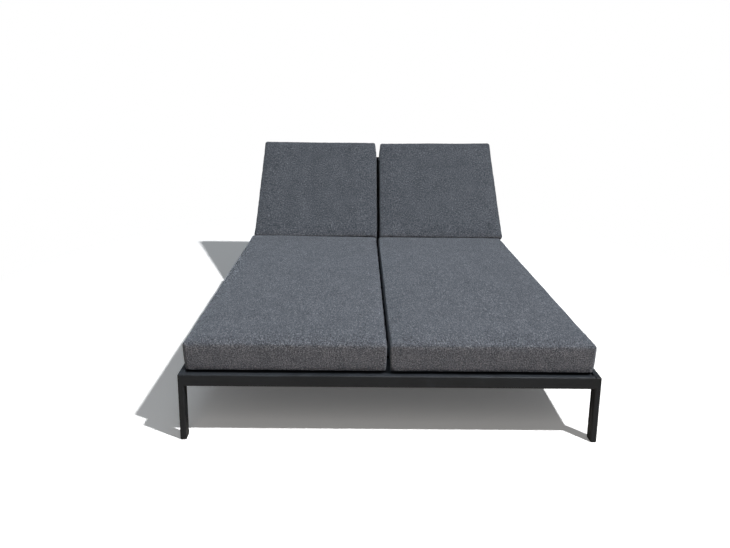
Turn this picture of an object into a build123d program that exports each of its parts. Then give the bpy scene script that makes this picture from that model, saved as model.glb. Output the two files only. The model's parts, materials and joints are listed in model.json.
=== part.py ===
from build123d import *
from math import asin, cos, degrees, pi, radians, sin, sqrt
import os

os.makedirs("parts", exist_ok=True)

# Overall size: X across, Y from the foot end to the head end, Z up,
# origin on the floor under the middle of the base.
overall_width = 1340.0
overall_length = 2215.0
frame_height = 224.0

# Rail and leg tube
rail_tall = 40.0
rail_thick = 20.0
rail_wall = 1.8
rail_corner = 5.0

# Inner tube of the base and of the back frame
inner_tube = 25.0
inner_wall = 1.8
inner_corner = 2.4

# Slats
slat_thick = 8.0
slat_wall = 1.3
slat_corner = 2.0
seat_slat_wide = 80.0
seat_slat_count = 10
seat_slat_end_gap = 1.0
seat_slat_rear_gap = 2.0
back_slat_wide = 70.0
back_slat_count = 5
back_slat_end_gap = 14.0

# Feet
foot_tall = 5.0
foot_edge = 1.5
foot_plug_deep = 22.0
plug_gap = 0.15

# Cushions
cushion_thick = 105.0
cushion_crown = 8.0
cushion_edge = 12.0
cushion_end_edge = 9.5
cushion_pull = 2.0
cushion_outer_draw = 10.0
cushion_inner_draw = 3.0
cushion_lift = 0.3
cushion_side_gap = 2.0
back_cushion_inset = 7.5
cushion_front_gap = 4.0
centre_gap = 7.0
crown_place_shares = (0, 0.13, 0.5, 0.87, 1)
crown_height_shares = (0.1, 0.8, 1, 0.8, 0.1)

# Back frame
back_long = 650.0
rest_angle = 47.0
pivot_set_back = 46.0
cushion_rest_rise = 52.5
cushion_overhang = 26.0
back_side_gap = 2.5
back_end_gap = 6.0
back_tail = 16.0
back_bottom_tube_place = 32.0
back_low_tall = 15.0

# Pivots of the back frame
bolt_radius = 5.0
bolt_head_radius = 9.0
bolt_head_tall = 5.0
bush_wall = 2.0
running_gap = 0.05
spacer_radius = 11.0
insert_radius = 8.0
insert_long = 12.0
bolt_end_gap = 1.0
hinge_tube_gap = 25.0
cap_tall = 3.0
cap_plug_deep = 16.0
lug_wide = 18.0
lug_eye = 12.0
cheek_thick = 5.0
cheek_gap = 0.5
clip_thick = 1.5
clip_radius = 8.0
clip_gap = 0.2

# Prop that holds the back up, and its racks
prop_place_share = 0.41
prop_long_share = 0.455
prop_drop = 26.0
prop_half_span = 330.0
prop_bar_thick = 6.0
prop_bar_radius = 10.0
foot_rod_radius = 6.0
foot_rod_end_gap = 0.5
prop_pin_radius = 4.0
prop_bush_wall = 2.0
pin_head_radius = 7.0
pin_head_tall = 2.5
bracket_wall = 3.0
bracket_side_gap = 0.5
bracket_long = 30.0
rack_side_gap = 8.0
rack_thick = 6.0
rack_rod_gap = 1.3
notch_deep = 4.0
notch_gap = 0.3
notch_angles = (25.0, 36.0, 47.0, 57.0, 67.0)
rack_end_margin = 16.0
screw_radius = 2.0
screw_head_radius = 3.6
screw_head_tall = 2.2
screw_long = 6.0
screw_place_shares = (0.16, 0.5, 0.89)

# One overrun serves all cuts
overrun = 1.0

# Places worked out from the sizes above
foot_end = -overall_length / 2
head_end = overall_length / 2
inner_face = overall_width / 2 - rail_thick
rail_middle = frame_height - rail_tall / 2
rail_under = frame_height - rail_tall
slat_under = rail_under + inner_tube
deck_top = slat_under + slat_thick
pivot_y = head_end - rail_thick - back_end_gap - back_long
pivot_z = deck_top - inner_tube / 2
seat_front = foot_end + rail_thick + cushion_front_gap
seat_rear = pivot_y - pivot_set_back
seat_cushion_long = seat_rear - seat_front
back_cushion_long = back_long + cushion_overhang - cushion_rest_rise
hinge_tube_rear = pivot_y - hinge_tube_gap
back_half = inner_face - back_side_gap
back_inner = back_half - inner_tube
seat_cushion_wide = inner_face - cushion_side_gap + cushion_outer_draw - centre_gap / 2
back_cushion_wide = back_half - back_cushion_inset + cushion_outer_draw - centre_gap / 2
bush_radius = bolt_radius + bush_wall
bush_bore = bolt_radius + running_gap
low_tube_middle = inner_tube / 2 - slat_thick - back_low_tall / 2
low_tube_under = low_tube_middle - back_low_tall / 2

# Prop, sized to the back frame that it holds
prop_place = prop_place_share * back_long
prop_long = prop_long_share * back_long
rod_z = pivot_z - prop_drop


def prop_pin_place(angle):
    """Middle of the prop's pin, from the pivot, with the back raised by an angle in degrees."""
    turn = radians(angle)
    along = prop_place * cos(turn) + prop_drop * sin(turn)
    up = prop_place * sin(turn) - prop_drop * cos(turn)
    return along, up


def prop_lean(angle):
    """Slope of the prop under the horizontal, in degrees, with its foot at the height of the racks."""
    along, up = prop_pin_place(angle)
    return degrees(asin((up + prop_drop) / prop_long))


def foot_place(angle):
    """Distance of the prop's foot behind the pivot."""
    along, up = prop_pin_place(angle)
    return along + prop_long * cos(radians(prop_lean(angle)))


rack_outer = prop_half_span + prop_bar_thick / 2 + rack_side_gap + rack_thick
rack_rail_middle = rack_outer + inner_tube / 2
rack_start = pivot_y + foot_place(notch_angles[-1]) - rack_end_margin
rack_end = pivot_y + prop_place + prop_long + rack_end_margin
rack_top = rod_z - foot_rod_radius - rack_rod_gap
rack_under = rail_under - inner_tube
rack_middle_z = (rack_top + rack_under) / 2
screw_z = (rack_top - notch_deep + rack_under) / 2

raised = Pos(0, pivot_y, pivot_z) * Rot(rest_angle, 0, 0)
pin_along, pin_up = prop_pin_place(rest_angle)
propped = Pos(0, pivot_y + pin_along, pivot_z + pin_up) * Rot(-prop_lean(rest_angle), 0, 0)

nodes = {}


# Shapes that repeat
def hollow(wide, tall, wall, corner):
    """Section of a tube with rounded corners, centred on its axis."""
    bore = RectangleRounded(wide - 2 * wall, tall - 2 * wall, corner - wall)
    return RectangleRounded(wide, tall, corner) - bore


def tube_along_y(start, end, middle_x, middle_z, wide, tall, wall, corner):
    """Tube between two places on Y."""
    bar = extrude(hollow(wide, tall, wall, corner), end - start)
    return Pos(middle_x, start, middle_z) * Rot(-90, 0, 0) * bar


def tube_along_x(start, end, middle_y, middle_z, wide, tall, wall, corner):
    """Tube between two places on X."""
    bar = extrude(hollow(tall, wide, wall, corner), end - start)
    return Pos(start, middle_y, middle_z) * Rot(0, 90, 0) * bar


def rod_along_x(start, end, middle_y, middle_z, radius):
    """Round bar between two places on X."""
    bar = Cylinder(radius, end - start)
    return Pos((start + end) / 2, middle_y, middle_z) * Rot(0, 90, 0) * bar


def ring_along_x(start, end, middle_y, middle_z, radius, bore):
    """Round sleeve between two places on X."""
    sleeve = rod_along_x(start, end, middle_y, middle_z, radius)
    return sleeve - rod_along_x(start - overrun, end + overrun, middle_y, middle_z, bore)


def prism_along_x(points, start, end):
    """Solid between two places on X with an outline in Y and Z."""
    outline = make_face(Polyline(*points, close=True))
    return Pos(start, 0, 0) * extrude(Plane.YZ * outline, end - start)


def mirrored(solid):
    """The same piece on the other side."""
    return mirror(solid, about=Plane.YZ)


# Base frame
def mitre(end, inward, beyond):
    """Wedge for the mitre between a side rail and a leg, on one side of the 45 degree line."""
    deep = rail_tall + overrun
    corner = (end - inward * overrun, frame_height + overrun)
    inside = (end + inward * deep, frame_height - deep)
    third = (inside[0], corner[1]) if beyond else (corner[0], inside[1])
    half = overall_width / 2
    return prism_along_x([corner, inside, third], -half - overrun, half + overrun)


def corner_round(end, inward):
    """What is taken off the outer edge of a mitred corner to round it."""
    half = overall_width / 2 + overrun
    centre_y = end + inward * rail_corner
    centre_z = frame_height - rail_corner
    out_y = end - inward * overrun
    out_z = frame_height + overrun
    block = [(centre_y, centre_z), (out_y, centre_z), (out_y, out_z), (centre_y, out_z)]
    return prism_along_x(block, -half, half) - rod_along_x(-half, half, centre_y, centre_z, rail_corner)


def side_rail():
    """Right side rail, mitred at both ends, with the hole for the pivot's insert."""
    middle_x = inner_face + rail_thick / 2
    size = (rail_thick, rail_tall, rail_wall, rail_corner)
    rail = tube_along_y(foot_end, head_end, middle_x, rail_middle, *size)
    for end, inward in ((foot_end, 1), (head_end, -1)):
        rail -= mitre(end, inward, False) + corner_round(end, inward)
    hole_end = inner_face + rail_wall + overrun
    return rail - rod_along_x(inner_face - overrun, hole_end, pivot_y, pivot_z, bolt_radius)


def leg(end, inward):
    """Right leg at one end, mitred at the top."""
    bar = extrude(hollow(rail_thick, rail_tall, rail_wall, rail_corner), frame_height - foot_tall)
    bar = Pos(inner_face + rail_thick / 2, end + inward * rail_tall / 2, foot_tall) * bar
    return bar - mitre(end, inward, True) - corner_round(end, inward)


def foot(end, inward):
    """Foot cap with its plug in the leg."""
    pad = extrude(RectangleRounded(rail_thick, rail_tall, rail_corner), foot_tall)
    pad = fillet(pad.faces().sort_by(Axis.Z)[0].edges(), foot_edge)
    inset = 2 * (rail_wall + plug_gap)
    bore = RectangleRounded(rail_thick - inset, rail_tall - inset, rail_corner - rail_wall)
    cap = pad + Pos(0, 0, foot_tall) * extrude(bore, foot_plug_deep)
    return Pos(inner_face + rail_thick / 2, end + inward * rail_tall / 2, 0) * cap


def end_rail(end, inward):
    """Rail across one end, with welds that fill the rounded edges of the legs beside it."""
    size = (rail_thick, rail_tall, rail_wall, rail_corner)
    rail = tube_along_x(-inner_face, inner_face, end + inward * rail_thick / 2, rail_middle, *size)
    centre_x = inner_face + rail_corner
    centre_y = end + inward * rail_corner
    fill = Box(rail_corner, rail_corner, rail_tall - 2 * rail_corner)
    fill = Pos((inner_face + centre_x) / 2, (end + centre_y) / 2, rail_middle) * fill
    fill -= Pos(centre_x, centre_y, rail_middle) * Cylinder(rail_corner, rail_tall)
    return rail + fill + mirrored(fill)


def base_frame():
    """Welded rails and legs, and the tubes under the deck."""
    nodes["side_rail_right"] = side_rail()
    nodes["side_rail_left"] = mirrored(nodes["side_rail_right"])
    for name, end, inward in (("front", foot_end, 1), ("rear", head_end, -1)):
        nodes[f"leg_{name}_right"] = leg(end, inward)
        nodes[f"leg_{name}_left"] = mirrored(nodes[f"leg_{name}_right"])
        nodes[f"foot_{name}_right"] = foot(end, inward)
        nodes[f"foot_{name}_left"] = mirrored(nodes[f"foot_{name}_right"])
        nodes[f"{name}_rail"] = end_rail(end, inward)
    square = (inner_tube, inner_tube, inner_wall, inner_corner)
    under_z = slat_under - inner_tube / 2
    cross_y = hinge_tube_rear - inner_tube / 2
    nodes["hinge_cross_tube"] = tube_along_x(-inner_face, inner_face, cross_y, under_z, *square)
    front = foot_end + rail_thick
    nodes["centre_rail"] = tube_along_y(front, hinge_tube_rear - inner_tube, 0, under_z, *square)


def seat_deck():
    """Slats across the base, welded between the side rails."""
    first = foot_end + rail_thick + seat_slat_end_gap + seat_slat_wide / 2
    last = seat_rear - seat_slat_rear_gap - seat_slat_wide / 2
    pitch = (last - first) / (seat_slat_count - 1)
    middle_z = slat_under + slat_thick / 2
    size = (seat_slat_wide, slat_thick, slat_wall, slat_corner)
    for number in range(seat_slat_count):
        slat = tube_along_x(-inner_face, inner_face, first + number * pitch, middle_z, *size)
        nodes[f"seat_slat_{number + 1:02d}"] = slat


# Racks under the back
def rack_screw_places():
    """Places on Y of the screws of one rack."""
    return [rack_start + share * (rack_end - rack_start) for share in screw_place_shares]


def rack():
    """Right rack: a flat bar with a notch for each position of the back."""
    inner = rack_outer - rack_thick
    bar = Pos((inner + rack_outer) / 2, (rack_start + rack_end) / 2, rack_middle_z) * Box(
        rack_thick, rack_end - rack_start, rack_top - rack_under
    )
    notch_radius = foot_rod_radius + notch_gap
    notch_z = rack_top - notch_deep + notch_radius
    for angle in notch_angles:
        place = pivot_y + foot_place(angle)
        bar -= rod_along_x(inner - overrun, rack_outer + overrun, place, notch_z, notch_radius)
    for place in rack_screw_places():
        bar -= rod_along_x(inner - overrun, rack_outer + overrun, place, screw_z, screw_radius)
    return bar


def rack_rail():
    """Right rail that carries a rack, welded under the hinge tube and the rear rail."""
    middle_z = rail_under - inner_tube / 2
    start = hinge_tube_rear - inner_tube
    size = (inner_tube, inner_tube, inner_wall, inner_corner)
    rail = tube_along_y(start, head_end, rack_rail_middle, middle_z, *size)
    hole_start = rack_outer - overrun
    hole_end = rack_outer + inner_wall + overrun
    for place in rack_screw_places():
        rail -= rod_along_x(hole_start, hole_end, place, screw_z, screw_radius)
    return rail


def rack_screw(place):
    """Pan head screw through the right rack into its rail."""
    face = rack_outer - rack_thick
    head = rod_along_x(face - screw_head_tall, face, place, screw_z, screw_head_radius)
    shank = rod_along_x(face, rack_outer + screw_long, place, screw_z, screw_radius)
    return head + shank


def racks():
    """Both racks with their rails and screws."""
    nodes["rack_rail_right"] = rack_rail()
    nodes["rack_rail_left"] = mirrored(nodes["rack_rail_right"])
    nodes["notched_rack_right"] = rack()
    nodes["notched_rack_left"] = mirrored(nodes["notched_rack_right"])
    right = [rack_screw(place) for place in rack_screw_places()]
    nodes["rack_screws"] = Compound(children=right + [mirrored(screw) for screw in right])


# Pivots between the base and the back frame
def side_pivot():
    """Right pivot: shoulder bolt, threaded insert in the rail and spacer ring."""
    bolt_end = overall_width / 2 - rail_wall - bolt_end_gap
    shank = rod_along_x(back_inner, bolt_end, pivot_y, pivot_z, bolt_radius)
    head = rod_along_x(back_inner - bolt_head_tall, back_inner, pivot_y, pivot_z, bolt_head_radius)
    start = inner_face + rail_wall
    insert = ring_along_x(start, start + insert_long, pivot_y, pivot_z, insert_radius, bolt_radius)
    spacer = ring_along_x(back_half, inner_face, pivot_y, pivot_z, spacer_radius, bush_bore)
    return shank + head, insert, spacer


def eye_plate(radius, root_y, root_low, root_high, start, end):
    """Plate round the pivot that runs to a flat root."""
    root = [(root_y, root_low), (root_y, root_high), (0, radius), (0, -radius)]
    return prism_along_x(root, start, end) + rod_along_x(start, end, 0, 0, radius)


def centre_bracket():
    """Two cheeks on a back plate, welded to the hinge tube, round the lug of the back frame."""
    root_y = -hinge_tube_gap
    low = slat_under - inner_tube - pivot_z
    high = slat_under - pivot_z
    cheek_start = lug_wide / 2 + cheek_gap
    cheek_end = cheek_start + cheek_thick
    cheek = eye_plate(lug_eye - cheek_gap, root_y, low, high, cheek_start, cheek_end)
    plate = [(root_y, low), (root_y, high), (root_y + bracket_wall, high), (root_y + bracket_wall, low)]
    bracket = cheek + mirrored(cheek) + prism_along_x(plate, -cheek_end, cheek_end)
    bracket -= rod_along_x(-cheek_end - overrun, cheek_end + overrun, 0, 0, bolt_radius)
    return Pos(0, pivot_y, pivot_z) * bracket


def centre_pin():
    """Headed pin through the centre bracket, with a retaining clip."""
    outer = lug_wide / 2 + cheek_gap + cheek_thick
    pin = rod_along_x(-outer - bolt_head_tall, -outer, pivot_y, pivot_z, bolt_head_radius)
    clip_end = outer + clip_gap + clip_thick
    pin += rod_along_x(-outer, clip_end + clip_thick, pivot_y, pivot_z, bolt_radius)
    return pin + rod_along_x(outer + clip_gap, clip_end, pivot_y, pivot_z, clip_radius)


def pivot_bush(start, end):
    """Plain bush in the back frame round a pivot."""
    return ring_along_x(start, end, 0, 0, bush_radius, bush_bore)


def pivots():
    """The three pivots of the back frame."""
    bolt, insert, spacer = side_pivot()
    nodes["pivot_bolts"] = Compound(children=[bolt, mirrored(bolt)])
    nodes["pivot_inserts"] = Compound(children=[insert, mirrored(insert)])
    nodes["pivot_spacers"] = Compound(children=[spacer, mirrored(spacer)])
    nodes["centre_hinge_bracket"] = centre_bracket()
    nodes["centre_hinge_pin"] = centre_pin()
    side = pivot_bush(back_inner, back_half)
    middle = pivot_bush(-lug_wide / 2, lug_wide / 2)
    nodes["pivot_bushes"] = Compound(children=[raised * bush for bush in (side, mirrored(side), middle)])


# Back frame, flat along Y from the pivot, then raised
def back_mitre(beyond):
    """Wedge for the mitre between a side tube and the top tube of the back frame."""
    reach = inner_tube + overrun
    corner = (back_half + overrun, back_long + overrun)
    inside = (back_half - reach, back_long - reach)
    third = (inside[0], corner[1]) if beyond else (corner[0], inside[1])
    outline = make_face(Polyline(corner, inside, third, close=True))
    return extrude(outline, inner_tube, both=True)


def back_side_tube():
    """Right side tube with the bore for its bush."""
    size = (inner_tube, inner_tube, inner_wall, inner_corner)
    tube = tube_along_y(-back_tail, back_long, back_half - inner_tube / 2, 0, *size)
    tube -= back_mitre(True)
    return tube - rod_along_x(back_inner - overrun, back_half + overrun, 0, 0, bush_radius)


def back_tube_cap():
    """Cap in the lower end of the right side tube."""
    cap = extrude(RectangleRounded(inner_tube, inner_tube, inner_corner), cap_tall)
    side = inner_tube - 2 * (inner_wall + plug_gap)
    plug = extrude(RectangleRounded(side, side, inner_corner - inner_wall), -(cap_plug_deep - bush_radius))
    return Pos(back_half - inner_tube / 2, -back_tail, 0) * Rot(90, 0, 0) * (cap + plug)


def back_lug():
    """Lug on the bottom tube that holds the middle bush."""
    root_y = back_bottom_tube_place - inner_tube / 2
    half = lug_wide / 2
    lug = eye_plate(lug_eye, root_y, -inner_tube / 2, inner_tube / 2, -half, half)
    return lug - rod_along_x(-half - overrun, half + overrun, 0, 0, bush_radius)


def back_frame():
    """Tubes, slats and lug of the back frame."""
    square = (inner_tube, inner_tube, inner_wall, inner_corner)
    low = (inner_tube, back_low_tall, inner_wall, inner_corner)
    flat = {"back_side_tube_right": back_side_tube()}
    flat["back_side_tube_left"] = mirrored(flat["back_side_tube_right"])
    top = tube_along_x(-back_half, back_half, back_long - inner_tube / 2, 0, *square)
    cut = back_mitre(False)
    flat["back_top_tube"] = top - cut - mirrored(cut)
    flat["back_bottom_tube"] = tube_along_x(-back_inner, back_inner, back_bottom_tube_place, 0, *square)
    centre_start = back_bottom_tube_place + inner_tube / 2
    centre_end = back_long - inner_tube
    flat["back_centre_tube"] = tube_along_y(centre_start, centre_end, 0, low_tube_middle, *low)
    prop_tube = tube_along_x(inner_tube / 2, back_inner, prop_place, low_tube_middle, *low)
    flat["prop_cross_tube_right"] = prop_tube
    flat["prop_cross_tube_left"] = mirrored(prop_tube)
    flat["centre_hinge_lug"] = back_lug()
    cap = back_tube_cap()
    flat["back_tube_caps"] = Compound(children=[cap, mirrored(cap)])
    first = centre_start + back_slat_end_gap + back_slat_wide / 2
    pitch = (centre_end - back_slat_end_gap - back_slat_wide / 2 - first) / (back_slat_count - 1)
    middle_z = inner_tube / 2 - slat_thick / 2
    size = (back_slat_wide, slat_thick, slat_wall, slat_corner)
    for number in range(back_slat_count):
        slat = tube_along_x(-back_inner, back_inner, first + number * pitch, middle_z, *size)
        flat[f"back_slat_{number + 1}"] = slat
    for name, solid in flat.items():
        nodes[name] = raised * solid


# Prop under the back
def prop_bracket():
    """Right bracket: a folded channel under the cross tube, round the eye of the prop's bar."""
    inside = prop_bar_thick / 2 + bracket_side_gap
    outside = inside + bracket_wall
    top = low_tube_under
    half = bracket_long / 2
    low = -prop_drop - prop_bar_radius
    plate = [(-half, top), (half, top), (half, top - bracket_wall), (-half, top - bracket_wall)]
    cheek = [(-half, top), (half, top), (prop_bar_radius, low), (-prop_bar_radius, low)]
    bracket = prism_along_x(plate, -outside, outside) + prism_along_x(cheek, inside, outside)
    bracket += prism_along_x(cheek, -outside, -inside)
    bracket -= rod_along_x(-outside - overrun, outside + overrun, 0, -prop_drop, prop_pin_radius)
    return Pos(prop_half_span, prop_place, 0) * bracket


def prop_pin():
    """Right headed pin, with a retaining clip at its inner end."""
    outside = prop_bar_thick / 2 + bracket_side_gap + bracket_wall
    pin = rod_along_x(-outside - clip_gap - 2 * clip_thick, outside, 0, 0, prop_pin_radius)
    pin += rod_along_x(outside, outside + pin_head_tall, 0, 0, pin_head_radius)
    pin += rod_along_x(-outside - clip_gap - clip_thick, -outside - clip_gap, 0, 0, pin_head_radius)
    return Pos(prop_half_span, prop_place, -prop_drop) * pin


def prop_arm():
    """Right bar of the prop, from the pin down to the foot rod."""
    half = prop_bar_thick / 2
    radius = prop_bar_radius
    bar = prism_along_x([(0, -radius), (prop_long, -radius), (prop_long, radius), (0, radius)], -half, half)
    bar += rod_along_x(-half, half, 0, 0, radius) + rod_along_x(-half, half, prop_long, 0, radius)
    bar -= rod_along_x(-half - overrun, half + overrun, 0, 0, prop_pin_radius + prop_bush_wall)
    bar -= rod_along_x(-half - overrun, half + overrun, prop_long, 0, foot_rod_radius)
    return Pos(prop_half_span, 0, 0) * bar


def prop():
    """Brackets, pins, bars, bushes and foot rod of the prop."""
    nodes["prop_bracket_right"] = raised * prop_bracket()
    nodes["prop_bracket_left"] = raised * mirrored(prop_bracket())
    pin = prop_pin()
    nodes["prop_pins"] = Compound(children=[raised * pin, raised * mirrored(pin)])
    nodes["prop_arm_right"] = propped * prop_arm()
    nodes["prop_arm_left"] = propped * mirrored(prop_arm())
    half = prop_bar_thick / 2
    start = prop_half_span - half
    bore = prop_pin_radius + running_gap
    bush = ring_along_x(start, start + prop_bar_thick, 0, 0, prop_pin_radius + prop_bush_wall, bore)
    nodes["prop_bushes"] = Compound(children=[propped * bush, propped * mirrored(bush)])
    rod_end = rack_outer - foot_rod_end_gap
    nodes["prop_foot_rod"] = propped * rod_along_x(-rod_end, rod_end, prop_long, 0, foot_rod_radius)


# Cushions
def cushion_section(half, crown):
    """Outline across a cushion: flat below, sides drawn in towards the base, crowned top, rounded edges."""
    edge = cushion_edge
    mid = edge * (1 - sqrt(0.5))
    top = cushion_thick
    outer = half - cushion_outer_draw
    inner = cushion_inner_draw - half
    right = (
        ThreePointArc((outer - edge, 0), (outer - mid, mid), (outer, edge)),
        Line((outer, edge), (half, top - edge)),
        ThreePointArc((half, top - edge), (half - mid, top - mid), (half - edge, top)),
    )
    left = (
        ThreePointArc((edge - half, top), (mid - half, top - mid), (-half, top - edge)),
        Line((-half, top - edge), (inner, edge)),
        ThreePointArc((inner, edge), (inner + mid, mid), (inner + edge, 0)),
    )
    over = ThreePointArc((half - edge, top), (0, top + crown), (edge - half, top))
    under = Line((inner + edge, 0), (outer - edge, 0))
    return make_face([under, *right, over, *left])


def cushion(wide, long):
    """Right cushion along Y from zero: crowned, with long sides drawn in between the corners."""
    sections = []
    for place, height in zip(crown_place_shares, crown_height_shares):
        half = wide / 2 - cushion_pull * sin(pi * place)
        section = cushion_section(half, cushion_crown * height)
        sections.append(Plane.XZ.offset(-long * place) * section)
    body = loft(sections)
    ends = body.faces().sort_by(Axis.Y)
    body = fillet(ends[0].edges() + ends[-1].edges(), cushion_end_edge)
    return Pos((centre_gap + wide) / 2, 0, 0) * body


def cushions():
    """Seat cushions on the deck and back cushions on the raised back frame."""
    seat = Pos(0, seat_front, deck_top + cushion_lift) * cushion(seat_cushion_wide, seat_cushion_long)
    back = cushion(back_cushion_wide, back_cushion_long)
    back = Pos(0, cushion_rest_rise, inner_tube / 2 + cushion_lift) * back
    nodes["seat_cushion_right"] = seat
    nodes["seat_cushion_left"] = mirrored(seat)
    nodes["back_cushion_right"] = raised * back
    nodes["back_cushion_left"] = raised * mirrored(back)


base_frame()
seat_deck()
racks()
pivots()
back_frame()
prop()
cushions()
for name, solid in nodes.items():
    export_step(solid, f"parts/{name}.step")
print(len(nodes), "nodes")
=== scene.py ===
import bpy
import json
import math
import random
from mathutils import Matrix, Vector


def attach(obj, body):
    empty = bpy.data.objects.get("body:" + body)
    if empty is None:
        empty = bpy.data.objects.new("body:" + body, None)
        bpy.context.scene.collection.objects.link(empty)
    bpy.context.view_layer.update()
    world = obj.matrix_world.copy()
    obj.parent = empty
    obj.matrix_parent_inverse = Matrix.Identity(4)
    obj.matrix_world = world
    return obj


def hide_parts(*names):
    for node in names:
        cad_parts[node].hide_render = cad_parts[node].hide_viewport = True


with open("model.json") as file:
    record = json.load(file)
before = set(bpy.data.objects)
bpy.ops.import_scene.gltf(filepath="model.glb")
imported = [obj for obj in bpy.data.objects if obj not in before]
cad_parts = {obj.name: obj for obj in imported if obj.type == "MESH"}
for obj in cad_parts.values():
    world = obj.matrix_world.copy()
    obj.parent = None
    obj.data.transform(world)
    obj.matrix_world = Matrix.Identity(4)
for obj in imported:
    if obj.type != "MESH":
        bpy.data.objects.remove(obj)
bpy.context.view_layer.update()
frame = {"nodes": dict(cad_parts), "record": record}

record = frame["record"]
scene = bpy.context.scene

# Camera: pixel values belong to the photograph's frame
image_wide = 730
image_middle = 274
horizon_row = 225
focal = 674.16
eye = Vector((-0.0992, -3.07775, 1.14169))
pitch = math.radians(12.3376)
yaw = math.radians(0.432)
roll = math.radians(0.64)
sensor_wide = 36
near_clip = 0.05


def make_camera():
    """Camera at the photograph's place, turned by yaw, pitch and roll."""
    ahead = Vector((math.sin(yaw) * math.cos(pitch), math.cos(yaw) * math.cos(pitch), -math.sin(pitch)))
    level = Vector((math.cos(yaw), -math.sin(yaw), 0))
    upward = level.cross(ahead)
    right = math.cos(roll) * level + math.sin(roll) * upward
    up = right.cross(ahead)
    data = bpy.data.cameras.new("camera")
    data.sensor_width = sensor_wide
    data.lens = focal / image_wide * sensor_wide
    data.shift_y = (horizon_row - image_middle) / image_wide
    data.clip_start = near_clip
    camera = bpy.data.objects.new("camera", data)
    turn = Matrix((right, up, -ahead)).transposed()
    camera.matrix_world = Matrix.Translation(eye) @ turn.to_4x4()
    scene.collection.objects.link(camera)
    scene.camera = camera


# Node helpers
def new_material(name):
    """Empty node material with its output."""
    material = bpy.data.materials.new(name)
    material.use_nodes = True
    tree = material.node_tree
    tree.nodes.clear()
    output = tree.nodes.new("ShaderNodeOutputMaterial")
    return material, tree, output


def add(tree, kind, values=None, **settings):
    """New node with its settings and the values of its inputs."""
    node = tree.nodes.new(kind)
    for key, value in settings.items():
        setattr(node, key, value)
    for key, value in (values or {}).items():
        node.inputs[key].default_value = value
    return node


def stretched_noise(tree, place, scale, detail, stretch):
    """Noise whose grain is drawn out along one direction."""
    mapping = add(tree, "ShaderNodeMapping", {"Scale": stretch})
    tree.links.new(place, mapping.inputs["Vector"])
    noise = add(tree, "ShaderNodeTexNoise", {"Scale": scale, "Detail": detail, "Roughness": 0.6})
    tree.links.new(mapping.outputs["Vector"], noise.inputs["Vector"])
    return noise.outputs["Fac"]


def maths(tree, operation, first, second):
    """Math node; each operand is a number or an output."""
    node = add(tree, "ShaderNodeMath", operation=operation)
    for socket, value in zip(node.inputs, (first, second)):
        if isinstance(value, (int, float)):
            socket.default_value = value
        else:
            tree.links.new(value, socket)
    return node.outputs[0]


def ramp(tree, source, stops):
    """Colour ramp through (place, colour) stops."""
    node = add(tree, "ShaderNodeValToRGB")
    elements = node.color_ramp.elements
    while len(elements) < len(stops):
        elements.new(0.5)
    for element, (place, colour) in zip(elements, stops):
        element.position = place
        element.color = (*colour, 1)
    tree.links.new(source, node.inputs["Fac"])
    return node.outputs["Color"]


def spread(tree, source, low, high):
    """Value that runs from low to high where its source runs from 0 to 1."""
    node = add(tree, "ShaderNodeMapRange", {"To Min": low, "To Max": high})
    tree.links.new(source, node.inputs["Value"])
    return node.outputs["Result"]


def split(tree, source):
    """X, Y and Z outputs of a vector."""
    node = add(tree, "ShaderNodeSeparateXYZ")
    tree.links.new(source, node.inputs["Vector"])
    return node.outputs


def bumped(tree, height, strength, distance):
    """Normal raised by a height."""
    node = add(tree, "ShaderNodeBump", {"Strength": strength, "Distance": distance})
    tree.links.new(height, node.inputs["Height"])
    return node.outputs["Normal"]


def finish_surface(tree, output, values, **sources):
    """Principled surface with plain values and linked sources, whose names stand for its inputs."""
    shader = add(tree, "ShaderNodeBsdfPrincipled", values)
    inputs = {"colour": "Base Color", "rough": "Roughness", "normal": "Normal"}
    for name, source in sources.items():
        tree.links.new(source, shader.inputs[inputs[name]])
    tree.links.new(shader.outputs["BSDF"], output.inputs["Surface"])


# Materials
even = (1, 1, 1)
melange = [
    (0.30, (0.030, 0.034, 0.040)),
    (0.44, (0.066, 0.072, 0.083)),
    (0.56, (0.108, 0.116, 0.131)),
    (0.70, (0.215, 0.226, 0.245)),
]
plain_yarns = [
    (0.22, (60, 430, 430)),
    (0.18, (430, 60, 430)),
    (0.18, (430, 430, 60)),
    (0.12, (16, 12, 16)),
]
# Painted shade: faces that do not point up are tinted warmer and darker than the tops.
painted_side_shade_stops = [(0.1, (0.99, 0.92, 0.885)), (0.5, (1.0, 1.0, 1.0))]
yarn_pitch = 1.5e-3
# Colour stops over random mottle plus an upward share; the upward share is painted light that makes tops
# paler.
mottle_and_painted_top_light_stops = [(0.35, 1), (0.65, 1.25), (1.0, 2.9)]


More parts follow.
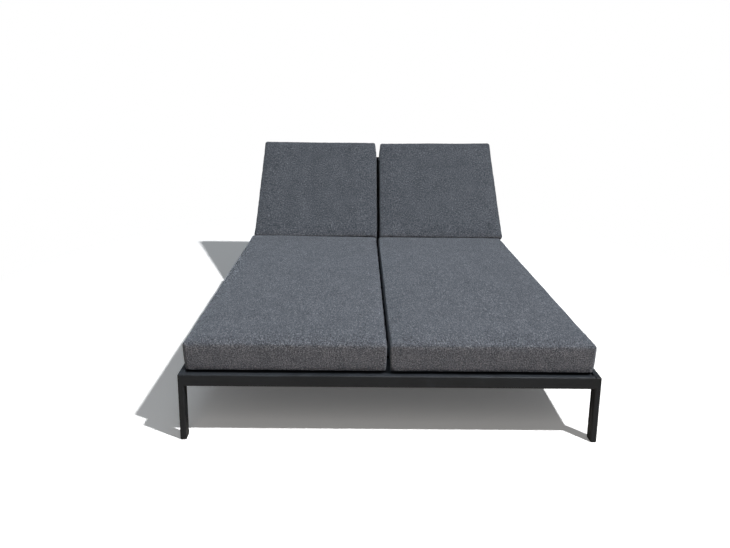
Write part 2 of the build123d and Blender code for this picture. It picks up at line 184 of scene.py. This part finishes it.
def fabric(name, tilt, shade, slubs):
    """Woven melange cover with light and dark yarns and short slubs, on a cushion that is tilted about X.
    Its sides and underside are painted warmer and a little darker than its top, as painted shade by facing."""
    material, tree, output = new_material(name)
    coordinates = add(tree, "ShaderNodeTexCoord")
    turned = add(tree, "ShaderNodeMapping", {"Rotation": (-tilt, 0, 0)})
    tree.links.new(coordinates.outputs["Object"], turned.inputs["Vector"])
    place = turned.outputs["Vector"]
    grain = None
    for weight, stretch in plain_yarns + slubs:
        noise = stretched_noise(tree, place, 1, 2, stretch)
        part = maths(tree, "MULTIPLY", maths(tree, "SUBTRACT", noise, 0.5), weight)
        grain = part if grain is None else maths(tree, "ADD", grain, part)
    grain = maths(tree, "ADD", grain, 0.5)
    colour = ramp(tree, grain, [(stop, tuple(s * c for s, c in zip(shade, tone))) for stop, tone in melange])
    # Painted shade: the colour is tinted warmer and darker where the face does not point up.
    painted_side_shade = ramp(tree, split(tree, coordinates.outputs["Normal"])["Z"], painted_side_shade_stops)
    colour_with_painted_side_shade = add(tree, "ShaderNodeVectorMath", operation="MULTIPLY")
    tree.links.new(colour, colour_with_painted_side_shade.inputs[0])
    tree.links.new(painted_side_shade, colour_with_painted_side_shade.inputs[1])
    turns = [maths(tree, "MULTIPLY", part, math.tau / yarn_pitch) for part in split(tree, place)]
    waves = [maths(tree, "SINE", turn, 0) for turn in turns]
    weave = maths(tree, "MULTIPLY", waves[0], waves[1])
    weave = maths(tree, "ADD", weave, maths(tree, "MULTIPLY", waves[0], waves[2]))
    height = maths(tree, "ADD", maths(tree, "MULTIPLY", weave, 0.25), maths(tree, "MULTIPLY", grain, 2.2))
    values = {
        "Roughness": 0.92,
        "Specular IOR Level": 0.15,
        "Sheen Weight": 0.22,
        "Sheen Roughness": 0.5,
        "Sheen Tint": (0.75, 0.87, 1.0, 1),
    }
    normal = bumped(tree, height, 0.5, 0.0006)
    finish_surface(tree, output, values, colour=colour_with_painted_side_shade.outputs["Vector"], normal=normal)
    return material


def powder_coat(name, tone):
    """Dark satin powder coat with a fine orange peel and random paler mottle; faces that point up are painted
    paler, as painted light on the tops.
    """
    material, tree, output = new_material(name)
    coordinates = add(tree, "ShaderNodeTexCoord")
    place = coordinates.outputs["Object"]
    peel = stretched_noise(tree, place, 900, 2, even)
    dust = stretched_noise(tree, place, 14, 4, even)
    # Painted light: faces that point up are made paler, on top of the random mottle.
    upward = maths(tree, "MAXIMUM", split(tree, coordinates.outputs["Normal"])["Z"], 0)
    mottle_and_painted_top_light = maths(tree, "ADD", dust, maths(tree, "MULTIPLY", upward, 0.5))
    colour = ramp(tree, mottle_and_painted_top_light, [(stop, tuple(c * share for c in tone)) for stop, share in mottle_and_painted_top_light_stops])
    rough = spread(tree, dust, 0.50, 0.64)
    normal = bumped(tree, peel, 0.18, 0.0004)
    finish_surface(tree, output, {"Specular IOR Level": 0.30}, colour=colour, rough=rough, normal=normal)
    return material


def steel(name):
    """Turned stainless steel with fine rings round X."""
    material, tree, output = new_material(name)
    coordinates = add(tree, "ShaderNodeTexCoord")
    grain = stretched_noise(tree, coordinates.outputs["Object"], 1, 2, (4000, 300, 300))
    rough = spread(tree, grain, 0.22, 0.42)
    colour = ramp(tree, grain, [(0.3, (0.5, 0.5, 0.49)), (0.7, (0.68, 0.68, 0.67))])
    normal = bumped(tree, grain, 0.1, 0.0001)
    finish_surface(tree, output, {"Metallic": 1.0}, colour=colour, rough=rough, normal=normal)
    return material


def plastic(name):
    """Moulded black plastic with a fine spark texture."""
    material, tree, output = new_material(name)
    coordinates = add(tree, "ShaderNodeTexCoord")
    grain = stretched_noise(tree, coordinates.outputs["Object"], 1600, 2, even)
    colour = ramp(tree, grain, [(0.35, (0.008, 0.008, 0.009)), (0.7, (0.017, 0.017, 0.018))])
    normal = bumped(tree, grain, 0.3, 0.0002)
    finish_surface(tree, output, {"Roughness": 0.6, "Specular IOR Level": 0.35}, colour=colour, normal=normal)
    return material


def dress_frame():
    """Every CAD node gets the material of its slot."""
    looks = {
        "frame_paint": powder_coat("frame_paint", (0.0092, 0.0108, 0.0132)),
        "rack_metal": powder_coat("rack_metal", (0.0088, 0.0101, 0.0120)),
        "stainless_steel": steel("stainless_steel"),
        "black_plastic": plastic("black_plastic"),
    }
    for part in record["subparts"]:
        look = looks.get(part["material_slot"])
        if look:
            mesh = frame["nodes"][part["node"]].data
            mesh.materials.clear()
            mesh.materials.append(look)


# Cushions: sizes of the box that each is made from, and how finely it is divided
rest_angle = math.radians(47)
cushion_thick = 0.105
seam_inset = 0.0012
cushion_lift = 0.0004
seam_radius = 0.014
edge_steps = 4
cell = 0.012
side_cell = 0.009
bottom_square_share = 0.9
gap_square_share = 0.75

# How every cushion departs from its box: drawn in below, crowned above, a little uneven
outer_draw = 0.0060
outer_edge_draw = 0.0025
rear_keep_share = 0.2
gap_draw = 0.0035
end_draw = 0.002
crown = 0.0045
side_waver = 0.0010
end_waver = 0.0016
top_waver = 0.0009
notch_share = 0.84
lip_share = 0.965
corner_share = 0.86

# Cloth simulation, and what it may change
cloth_frames = 20
puff_limit = 0.007
firm_height = 0.02
gap_side_share = 0.9
slope_height = 0.008
crease_deep = 0.0012


def lattice_line(half, radius, spacing):
    """Places along one axis: close together in the rounded edges, even between them."""
    inner = half - radius
    count = max(2, round(2 * inner / spacing))
    edge = [inner + radius * step / edge_steps for step in range(1, edge_steps + 1)]
    middle = [-inner + 2 * inner * step / count for step in range(count + 1)]
    return [-place for place in reversed(edge)] + middle + edge


def rounded_box(wide, long, tall, radius, side):
    """Vertices and faces of a centred box, rounded less at the bottom and down the corners by the gap."""
    spans = ((wide, cell), (long, cell), (tall, side_cell))
    lines = [lattice_line(size / 2, radius, spacing) for size, spacing in spans]
    counts = [len(line) - 1 for line in lines]
    inner = Vector((wide / 2 - radius, long / 2 - radius, tall / 2 - radius))
    index = {}
    points = []

    def vertex(key):
        if key not in index:
            outer = Vector([lines[axis][key[axis]] for axis in range(3)])
            core = Vector([max(-inner[axis], min(inner[axis], outer[axis])) for axis in range(3)])
            index[key] = len(points)
            away = outer - core
            turned = core + away.normalized() * radius
            if outer.z < 0:
                level = away.xy.normalized() * max(abs(away.x), abs(away.y))
                square = Vector((core.x + level.x, core.y + level.y, outer.z))
                turned = turned.lerp(square, bottom_square_share)
            if side * outer.x < 0:
                square = Vector((outer.x, outer.y, turned.z))
                turned = turned.lerp(square, gap_square_share * (1 - abs(away.z) / radius))
            points.append(turned)
        return index[key]

    faces = []
    for axis in range(3):
        a, b = (axis + 1) % 3, (axis + 2) % 3
        for end in (0, counts[axis]):
            for i in range(counts[a]):
                for j in range(counts[b]):
                    corners = []
                    for di, dj in ((0, 0), (1, 0), (1, 1), (0, 1)):
                        key = [0, 0, 0]
                        key[axis], key[a], key[b] = end, i + di, j + dj
                        corners.append(vertex(tuple(key)))
                    faces.append(corners if end else corners[::-1])
    return points, faces, index, counts


def smooth_wave(seed):
    """Slow wavy function of one number, the same on every run."""
    chance = random.Random(seed)
    terms = [(chance.uniform(2, 9), chance.uniform(0, math.tau), chance.uniform(0.5, 1)) for _ in range(4)]
    return lambda place: sum(size * math.sin(rate * place + start) for rate, start, size in terms) / 3


def ease(value):
    """Smooth step from 0 to 1."""
    value = max(0, min(1, value))
    return value * value * (3 - 2 * value)


def between(first, last, share):
    """Value a share of the way from the first to the last."""
    return first + (last - first) * share


def past(share, start):
    """Smooth step from 0 at a start to 1 at the end of a share that runs to 1."""
    return ease((share - start) / (1 - start))


def flat_box(node, turn):
    """Lowest and highest corners of a node's mesh, turned back by its tilt."""
    points = [turn.inverted() @ vertex.co for vertex in frame["nodes"][node].data.vertices]
    low = Vector([min(point[axis] for point in points) for axis in range(3)])
    high = Vector([max(point[axis] for point in points) for axis in range(3)])
    return low, high


def shape(point, half, side, seed_waves, form):
    """Point of the plain box moved to the cushion's own form."""
    x, y, z = point
    across, along, low = side * x / half.x, y / half.y, 0.5 - z / (2 * half.z)
    rear, out = (along + 1) / 2, (across + 1) / 2
    outer = between(form["front"], form["rear"], rear) * (1 - low)
    outer -= (outer_draw * low + outer_edge_draw * low ** 8) * between(1, rear_keep_share, rear)
    inner = gap_draw * low ** 2 + form["notch"] * past(rear, notch_share) ** 1.5
    inner += side * between(form["gap_front"], form["gap_rear"], rear)
    x += side * (outer * ease(across) + inner * ease(-across))
    longer = between(form["long_in"], form["long_out"], out)
    y += longer * ease(along) - math.copysign(end_draw * low ** 2, y) * ease(abs(along))
    z += form["lip"] * low ** 4 * past(-along, lip_share)
    x += side_waver * seed_waves[0](3 * y) * abs(across) ** 4 * (1 - low)
    y += end_waver * seed_waves[1](3 * x) * abs(along) ** 8
    if z > 0:
        swell = (1 - abs(across) ** 5) * (1 - abs(along) ** 10)
        z += crown * max(0, swell) + top_waver * seed_waves[2](2 * y + 3 * x) * swell
        z += form["raised"] * (1 - low) * past(rear, corner_share) * ease(out)
    return Vector((x, y, z))


def make_cushion(name, node, body, tilt, side, form, cover):
    """Boxed cushion in the place of a CAD solid, blown up by a cloth simulation between its two seams."""
    turn = Matrix.Rotation(tilt, 4, "X")
    low, high = flat_box(node, turn)
    half = Vector((high.x - low.x, high.y - low.y - 2 * seam_inset, cushion_thick - seam_inset)) / 2
    points, faces, index, counts = rounded_box(*(2 * half), seam_radius, side)
    waves = [smooth_wave(f"{name} {number}") for number in range(3)]
    mesh = bpy.data.meshes.new(name)
    mesh.from_pydata([tuple(shape(point, half, side, waves, form)) for point in points], [], faces)
    mesh.update()
    cushion = bpy.data.objects.new(name, mesh)
    scene.collection.objects.link(cushion)
    seam = seam_rings(index, counts)
    inflate(cushion, seam, half, side, form["free_end"])
    crease(cushion, seam)
    middle = (low + high) / 2
    place = turn @ Matrix.Translation((middle.x, middle.y, low.z + half.z + cushion_lift))
    cushion.data.transform(place)
    finer = cushion.modifiers.new("finer", "SUBSURF")
    finer.levels = finer.render_levels = 1
    for polygon in cushion.data.polygons:
        polygon.use_smooth = True
    cushion.data.materials.append(cover)
    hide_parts(node)
    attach(cushion, body)


def seam_rings(index, counts):
    """Vertices of the upper and lower seam, where the rounded edges end, and of those down the corners."""
    nx, ny, nz = counts
    rings = {"upper": [], "lower": [], "corners": []}
    for (i, j, k), vertex in index.items():
        side = i in (0, nx) or j in (0, ny)
        if side and k == nz:
            rings["upper"].append(vertex)
        if side and k == 0:
            rings["lower"].append(vertex)
        if i in (0, nx) and j in (0, ny) and 0 < k < nz:
            rings["corners"].append(vertex)
    return rings


def inflate(cushion, seam, half, side, free_end):
    """Cloth under pressure with its seams held. What it moves is limited, and kept off the neighbours."""
    before = [vertex.co.copy() for vertex in cushion.data.vertices]
    held = cushion.vertex_groups.new(name="held")
    held.add(seam["upper"] + seam["lower"], 1.0, "REPLACE")
    cloth = cushion.modifiers.new("cloth", "CLOTH")
    settings = cloth.settings
    settings.quality = 4
    settings.mass = 0.25
    settings.tension_stiffness = 18
    settings.compression_stiffness = 18
    settings.shear_stiffness = 8
    settings.bending_stiffness = 1.2
    settings.use_pressure = True
    settings.uniform_pressure_force = 4.0
    settings.shrink_min = -0.006
    settings.effector_weights.gravity = 0
    settings.vertex_group_mass = "held"
    cloth.collision_settings.use_collision = False
    cloth.point_cache.frame_start = 1
    cloth.point_cache.frame_end = cloth_frames
    for step in range(1, cloth_frames + 1):
        scene.frame_set(step)
    graph = bpy.context.evaluated_depsgraph_get()
    blown = cushion.evaluated_get(graph).data
    after = [vertex.co.copy() for vertex in blown.vertices]
    cushion.modifiers.remove(cloth)
    for vertex, start, end in zip(cushion.data.vertices, before, after):
        shift = end - start
        reach = shift.length
        if reach > 0:
            end = start + shift * (puff_limit * math.tanh(reach / puff_limit) / reach)
            end = start.lerp(end, ease((start.z + half.z) / firm_height))
            end.z = max(end.z, -half.z)
            end.y = max(-half.y, end.y if free_end else min(half.y, end.y))
            if side * start.x < -gap_side_share * half.x:
                end.x = side * max(side * end.x, side * start.x)
            elif side * start.x > 0:
                limit = half.x - outer_draw - outer_edge_draw + max(0, end.z + half.z - slope_height)
                end.x = side * min(side * end.x, max(side * start.x, limit))
            vertex.co = end
    scene.frame_set(1)


def crease(cushion, seam):
    """Pulls the seams in a little, so each reads as a sewn line."""
    normals = [vertex.normal.copy() for vertex in cushion.data.vertices]
    for vertex in seam["upper"] + seam["corners"]:
        cushion.data.vertices[vertex].co -= normals[vertex] * crease_deep


def make_cushions():
    """Four cushions. Each form says what is added at the outer side, in front and behind, where the side by
    the centre gap lies, what is added to the length inside and outside, and how deep the notch is, how far
    the front lip and the rear corner are lifted and whether the far end may puff out."""
    seat_slubs = [(0.9, (310, 120, 310)), (0.45, (200, 60, 260))]
    back_slubs = [(0.75, (190, 150, 190))]
    seat = fabric("cushion_fabric", 0, (1.06, 1.06, 1.09), seat_slubs)
    # The back covers are the seat fabric painted about a quarter darker: painted shade, not a different
    # cloth.
    back = fabric("cushion_fabric_back", rest_angle, (0.80, 0.82, 0.85), back_slubs)
    plain = {"long_in": 0, "long_out": 0, "notch": 0, "lip": 0.0115, "raised": 0, "free_end": False}
    bent = {"notch": 0.007, "lip": 0, "raised": 0, "free_end": True}
    seat_forms = {
        "right": plain | {"front": 0, "rear": -0.018, "gap_front": -0.003, "gap_rear": -0.0065},
        "left": plain | {"front": 0.001, "rear": 0.0105, "gap_front": -0.006, "gap_rear": -0.0095},
    }
    seat_forms["left"]["raised"] = 0.0045
    back_forms = {
        "right": bent | {"front": 0.0075, "rear": -0.0085, "gap_front": 0.001, "gap_rear": 0.001},
        "left": bent | {"front": 0.010, "rear": -0.003, "gap_front": -0.005, "gap_rear": -0.005},
    }
    back_forms["right"].update(long_in=0, long_out=0.010)
    back_forms["left"].update(long_in=0.003, long_out=0.006)
    for name, side in (("right", 1), ("left", -1)):
        node = f"seat_cushion_{name}"
        make_cushion(f"seat_pad_{name}", node, "base", 0, side, seat_forms[name], seat)
        node = f"back_cushion_{name}"
        make_cushion(f"back_pad_{name}", node, node, rest_angle, side, back_forms[name], back)


# Floor, backdrop and light
floor_reach = 2.7
lamp_aim = Vector((-0.1, 0, 0.2))


def make_lamp(name, place, size, energy, tone, fall="Constant"):
    """Round lamp aimed at the seat, whose light falls off with distance only if asked."""
    lamp = bpy.data.lights.new(name, "AREA")
    lamp.shape = "DISK"
    lamp.size = size
    lamp.energy = energy
    lamp.color = tone
    lamp.use_nodes = True
    tree = lamp.node_tree
    tree.nodes.clear()
    output = add(tree, "ShaderNodeOutputLight")
    emission = add(tree, "ShaderNodeEmission")
    falloff = add(tree, "ShaderNodeLightFalloff", {"Strength": 1})
    tree.links.new(falloff.outputs[fall], emission.inputs["Strength"])
    tree.links.new(emission.outputs["Emission"], output.inputs["Surface"])
    stand = bpy.data.objects.new(name, lamp)
    stand.location = place
    aim = lamp_aim - stand.location
    stand.rotation_mode = "QUATERNION"
    stand.rotation_quaternion = aim.to_track_quat("-Z", "Y")
    scene.collection.objects.link(stand)


def paper():
    """White floor that the camera sees fade to plain white far out, and that bounces a warm grey."""
    material, tree, output = new_material("floor")
    matt = add(tree, "ShaderNodeBsdfDiffuse", {"Color": (1.1, 1.1, 1.1, 1)})
    glow = add(tree, "ShaderNodeEmission", {"Color": (1, 1, 1, 1), "Strength": 0.085})
    near = add(tree, "ShaderNodeAddShader")
    tree.links.new(matt.outputs["BSDF"], near.inputs[0])
    tree.links.new(glow.outputs["Emission"], near.inputs[1])
    white = add(tree, "ShaderNodeEmission", {"Color": (1, 1, 1, 1), "Strength": 1.0})
    coordinates = add(tree, "ShaderNodeTexCoord")
    oval = add(tree, "ShaderNodeMapping", {"Scale": (1, 0.8, 0)})
    tree.links.new(coordinates.outputs["Object"], oval.inputs["Vector"])
    distance = add(tree, "ShaderNodeVectorMath", operation="LENGTH")
    tree.links.new(oval.outputs["Vector"], distance.inputs[0])
    fade = add(tree, "ShaderNodeMapRange", {"From Min": 1.75, "From Max": 2.2})
    fade.interpolation_type = "SMOOTHSTEP"
    tree.links.new(distance.outputs["Value"], fade.inputs["Value"])
    seen = add(tree, "ShaderNodeMixShader")
    tree.links.new(fade.outputs["Result"], seen.inputs["Fac"])
    tree.links.new(near.outputs["Shader"], seen.inputs[1])
    tree.links.new(white.outputs["Emission"], seen.inputs[2])
    bounced = add(tree, "ShaderNodeBsdfDiffuse", {"Color": (0.56, 0.51, 0.45, 1)})
    path = add(tree, "ShaderNodeLightPath")
    mix = add(tree, "ShaderNodeMixShader")
    tree.links.new(path.outputs["Is Camera Ray"], mix.inputs["Fac"])
    tree.links.new(bounced.outputs["BSDF"], mix.inputs[1])
    tree.links.new(seen.outputs["Shader"], mix.inputs[2])
    tree.links.new(mix.outputs["Shader"], output.inputs["Surface"])
    return material


def make_floor():
    """Square floor under the lounger."""
    mesh = bpy.data.meshes.new("floor")
    corners = [(floor_reach * x, floor_reach * y, 0) for x, y in ((-1, -1), (1, -1), (1, 1), (-1, 1))]
    mesh.from_pydata(corners, [], [(0, 1, 2, 3)])
    mesh.materials.append(paper())
    floor = bpy.data.objects.new("floor", mesh)
    scene.collection.objects.link(floor)


def make_world():
    """Soft light from all round, and a white backdrop for the camera."""
    world = bpy.data.worlds.new("world")
    scene.world = world
    world.use_nodes = True
    tree = world.node_tree
    tree.nodes.clear()
    output = add(tree, "ShaderNodeOutputWorld")
    soft = add(tree, "ShaderNodeBackground", {"Color": (0.95, 0.98, 1.0, 1), "Strength": 0.135})
    white = add(tree, "ShaderNodeBackground", {"Color": (1, 1, 1, 1), "Strength": 1.0})
    path = add(tree, "ShaderNodeLightPath")
    mix = add(tree, "ShaderNodeMixShader")
    tree.links.new(path.outputs["Is Camera Ray"], mix.inputs["Fac"])
    tree.links.new(soft.outputs["Background"], mix.inputs[1])
    tree.links.new(white.outputs["Background"], mix.inputs[2])
    tree.links.new(mix.outputs["Shader"], output.inputs["Surface"])


def make_stage():
    """Floor, backdrop and three lamps."""
    make_floor()
    make_world()
    make_lamp("key", (2.33, -2.90, 4.69), 0.18, 11.0, (1.0, 1.0, 1.0))
    make_lamp("fill", (-0.3, -3.6, 2.5), 2.0, 18.0, (0.98, 0.93, 0.87), "Quadratic")
    make_lamp("rear", (-0.6, 4.4, 3.6), 2.2, 0.8, (0.62, 0.82, 1.0))
    scene.view_settings.view_transform = "Standard"


make_camera()
make_stage()
dress_frame()
make_cushions()
